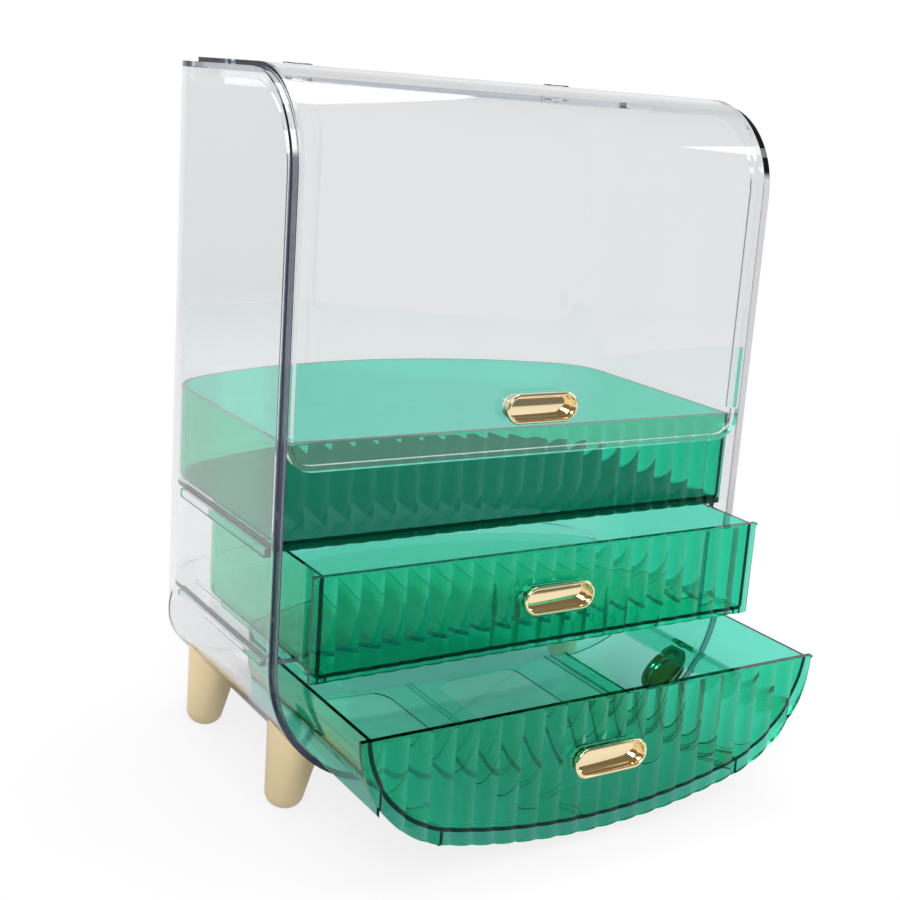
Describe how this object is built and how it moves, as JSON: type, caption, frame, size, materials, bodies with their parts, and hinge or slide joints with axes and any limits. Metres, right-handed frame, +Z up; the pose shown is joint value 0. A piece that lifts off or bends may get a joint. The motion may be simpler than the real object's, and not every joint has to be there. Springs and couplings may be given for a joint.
{
  "type": "cosmetics organizer",
  "caption": "Dustproof countertop cosmetics organizer: clear bow-bottomed casing, hinged clear lid, fixed tray and fluted green drawers on tapered gold legs.",
  "frame": {"origin": "on the table, midway between the four feet", "axes": "+Z up, the front looks along -Y, +X to the right seen from the front"},
  "size_m": [0.3, 0.2998, 0.3849],
  "materials": {
    "clear_plastic": "clear gloss",
    "green_plastic": "translucent gloss",
    "bright_gold": "polished gold plating",
    "satin_gold": "satin gold plating"
  },
  "bodies": {
    "casing": {"casing_shell": "clear_plastic", "upper_shelf": "clear_plastic", "lower_shelf": "clear_plastic", "top_tray_box": "green_plastic", "top_tray_front": "green_plastic", "hinge_bracket_left": "clear_plastic", "hinge_bracket_right": "clear_plastic", "hinge_pin_left": "clear_plastic", "hinge_pin_right": "clear_plastic", "leg_front_left": "satin_gold", "leg_front_right": "satin_gold", "leg_back_left": "satin_gold", "leg_back_right": "satin_gold"},
    "lid": {"lid_cover": "clear_plastic", "lid_handle": "bright_gold"},
    "middle_drawer": {"middle_drawer_box": "green_plastic", "middle_drawer_front": "green_plastic", "middle_drawer_handle": "bright_gold"},
    "bottom_drawer": {"bottom_drawer_box": "green_plastic", "bottom_drawer_front": "green_plastic", "bottom_drawer_handle": "bright_gold"}
  },
  "joints": [
    {"name": "lid_hinge", "type": "hinge", "parent": "casing", "child": "lid", "pos_m": [0, 0.0575, 0.3825], "axis": [-1, 0, 0], "range_deg": [0, 95]},
    {"name": "middle_drawer_slide", "type": "slide", "parent": "casing", "child": "middle_drawer", "axis": [0, -1, 0], "range_m": [-0.037, 0.083]},
    {"name": "bottom_drawer_slide", "type": "slide", "parent": "casing", "child": "bottom_drawer", "axis": [0, -1, 0], "range_m": [-0.0936, 0.0264]}
  ]
}
